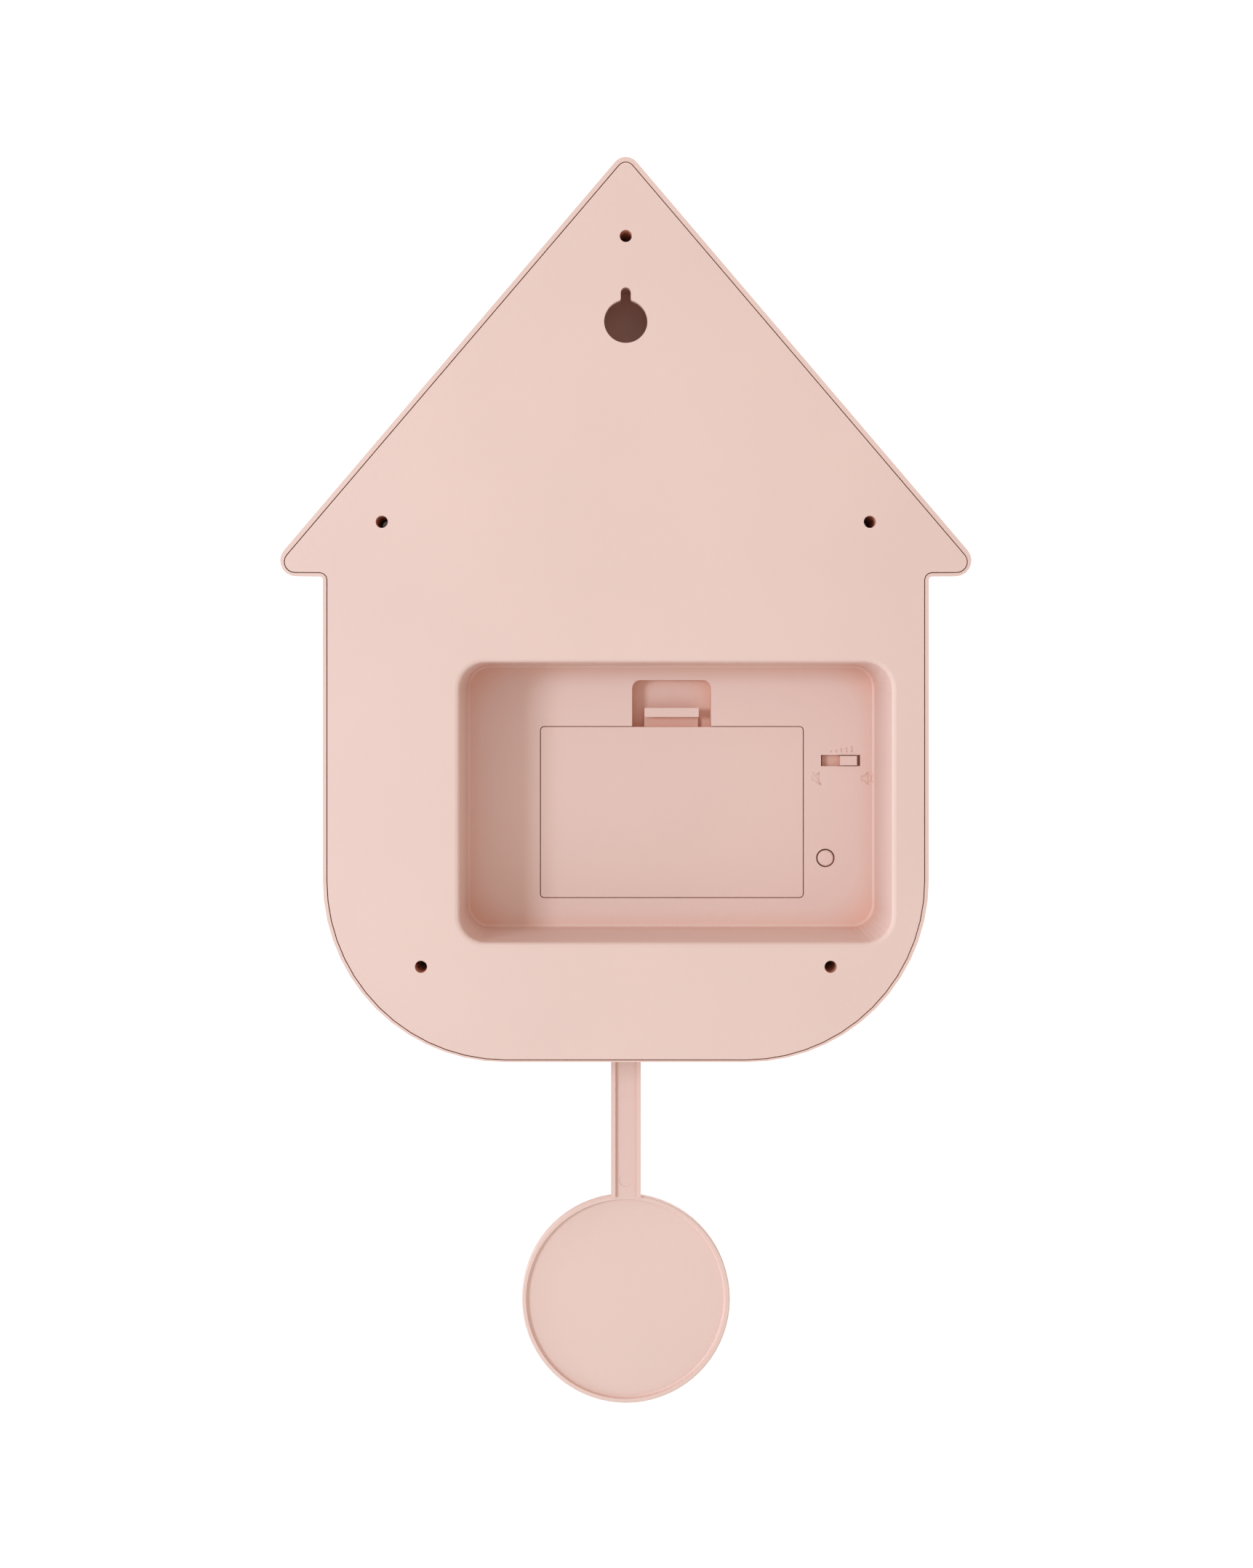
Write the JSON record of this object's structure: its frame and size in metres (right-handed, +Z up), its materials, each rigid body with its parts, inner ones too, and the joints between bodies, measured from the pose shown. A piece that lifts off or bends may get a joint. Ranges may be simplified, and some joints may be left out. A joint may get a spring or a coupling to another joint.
{
  "type": "cuckoo clock",
  "caption": "House-shaped pink wall clock with a sliding bird behind double doors, a round dial, a swinging pendulum and a recessed rear tray with battery door, switch and button.",
  "frame": {"origin": "centre of the round top end of the keyhole slot, on the back plane of the rear cover: the point that hangs on the wall screw", "axes": "+Z up, +Y out of the back towards the wall, the dial faces -Y, +X to the right seen from the front"},
  "size_m": [0.2098, 0.083, 0.3927],
  "materials": {
    "case_plastic": "fine satin pink moulding",
    "trim_plastic": "satin deeper pink moulding",
    "dial_plastic": "matt cream",
    "natural_plastic": "unpainted natural plastic",
    "black_plastic": "satin black",
    "steel": "plated steel",
    "board": "green solder mask",
    "copper": "lacquered copper winding",
    "cell_label": "plain printed sleeve",
    "speaker_paper": "black pressed paper",
    "brass": "turned brass",
    "bird_plastic": "matt off-white",
    "beak_plastic": "satin orange"
  },
  "bodies": {
    "case": {"battery_cell_1": "cell_label", "battery_cell_2": "cell_label", "battery_cell_3": "cell_label", "bird_axle": "steel", "bird_frame": "natural_plastic", "bird_motor": "steel", "button_switch": "steel", "case_screw_1": "steel", "case_screw_2": "steel", "case_screw_3": "steel", "case_screw_4": "steel", "case_screw_5": "steel", "circuit_board": "board", "contact_plate_1": "steel", "contact_plate_2": "steel", "contact_plate_3": "steel", "contact_spring_1": "steel", "contact_spring_2": "steel", "contact_spring_3": "steel", "control_chip": "black_plastic", "dial_face": "dial_plastic", "dial_ring": "trim_plastic", "drive_coil": "copper", "drive_housing": "natural_plastic", "front_case": "case_plastic", "light_sensor": "black_plastic", "motor_coil": "copper", "movement_case": "black_plastic", "movement_cover": "black_plastic", "movement_nut": "brass", "pin_clip": "steel", "pivot_pin": "steel", "rear_cover": "case_plastic", "speaker_cone": "speaker_paper", "speaker_frame": "black_plastic", "speaker_magnet": "steel", "switch_body": "steel"},
    "pendulum": {"pendulum": "case_plastic", "pendulum_magnet": "steel"},
    "battery_door": {"battery_door": "case_plastic"},
    "battery_latch": {"battery_latch": "case_plastic"},
    "volume_knob": {"volume_knob": "case_plastic"},
    "set_button": {"set_button": "case_plastic"},
    "minute_hand": {"minute_hand": "trim_plastic", "hand_cap": "brass", "centre_wheel": "natural_plastic"},
    "hour_hand": {"hour_hand": "trim_plastic", "hour_wheel": "natural_plastic"},
    "minute_wheel": {"minute_wheel": "natural_plastic"},
    "third_wheel": {"third_wheel": "natural_plastic"},
    "motor_rotor": {"motor_rotor": "steel"},
    "bird": {"bird_body": "bird_plastic", "bird_beak": "beak_plastic", "bird_carriage": "natural_plastic"},
    "bird_gear": {"bird_gear": "natural_plastic"},
    "motor_pinion": {"motor_pinion": "brass"},
    "bird_door_left": {"bird_door_left": "trim_plastic"},
    "bird_door_right": {"bird_door_right": "trim_plastic"}
  },
  "joints": [
    {"name": "pendulum_swing", "type": "hinge", "parent": "case", "child": "pendulum", "pos_m": [-0.0009, -0.04, -0.205], "axis": [0, 1, 0], "range_deg": [-10, 10]},
    {"name": "minute_hand_turn", "type": "hinge", "parent": "case", "child": "minute_hand", "pos_m": [0, -0.0665, -0.099], "axis": [0, 1, 0], "continuous": true},
    {"name": "hour_hand_turn", "type": "hinge", "parent": "case", "child": "hour_hand", "pos_m": [0, -0.0725, -0.099], "axis": [0, 1, 0], "continuous": true},
    {"name": "minute_wheel_turn", "type": "hinge", "parent": "case", "child": "minute_wheel", "pos_m": [0.0097, -0.071, -0.099], "axis": [0, 1, 0], "continuous": true},
    {"name": "third_wheel_turn", "type": "hinge", "parent": "case", "child": "third_wheel", "pos_m": [-0.0096, -0.0635, -0.099], "axis": [0, 1, 0], "continuous": true},
    {"name": "rotor_turn", "type": "hinge", "parent": "case", "child": "motor_rotor", "pos_m": [-0.01596, -0.069, -0.10536], "axis": [0, 1, 0], "continuous": true},
    {"name": "bird_slide", "type": "slide", "parent": "case", "child": "bird", "axis": [0, -1, 0], "range_m": [0, 0.032]},
    {"name": "bird_gear_turn", "type": "hinge", "parent": "case", "child": "bird_gear", "pos_m": [0, -0.042, -0.04038], "axis": [1, 0, 0], "range_deg": [-0.5, 230.7]},
    {"name": "motor_pinion_turn", "type": "hinge", "parent": "case", "child": "motor_pinion", "pos_m": [0, -0.03111, -0.04038], "axis": [1, 0, 0], "range_deg": [-692, 1.5]},
    {"name": "left_door_swing", "type": "hinge", "parent": "case", "child": "bird_door_left", "pos_m": [-0.0142, -0.0762, -0.015], "axis": [0, 0, -1], "range_deg": [0, 101]},
    {"name": "right_door_swing", "type": "hinge", "parent": "case", "child": "bird_door_right", "pos_m": [0.0142, -0.0762, -0.015], "axis": [0, 0, 1], "range_deg": [0, 101]},
    {"name": "battery_door_swing", "type": "hinge", "parent": "case", "child": "battery_door", "pos_m": [0, -0.032, -0.1872], "axis": [-1, 0, 0], "range_deg": [0, 90]},
    {"name": "battery_latch_flex", "type": "hinge", "parent": "battery_door", "child": "battery_latch", "pos_m": [0, -0.0374, -0.1338], "axis": [1, 0, 0], "range_deg": [0, 6], "stiffness_Nm_per_rad": 0.4},
    {"name": "volume_slide", "type": "slide", "parent": "case", "child": "volume_knob", "axis": [1, 0, 0], "range_m": [-0.0008, 0.0057]},
    {"name": "set_button_press", "type": "slide", "parent": "case", "child": "set_button", "axis": [0, -1, 0], "range_m": [0, 0.0008], "stiffness_N_per_m": 900}
  ],
  "couplings": [
    {"joint": "hour_hand_turn", "follows": "minute_hand_turn", "ratio": 0.083333},
    {"joint": "minute_wheel_turn", "follows": "minute_hand_turn", "ratio": -0.33333},
    {"joint": "third_wheel_turn", "follows": "minute_hand_turn", "ratio": -7.5},
    {"joint": "rotor_turn", "follows": "minute_hand_turn", "ratio": 60},
    {"joint": "bird_gear_turn", "follows": "bird_slide", "rad_per_m": 125.26},
    {"joint": "motor_pinion_turn", "follows": "bird_slide", "rad_per_m": -375.79},
    {"joint": "left_door_swing", "follows": "bird_slide", "rad_per_m": 54.541},
    {"joint": "right_door_swing", "follows": "bird_slide", "rad_per_m": 54.541}
  ]
}
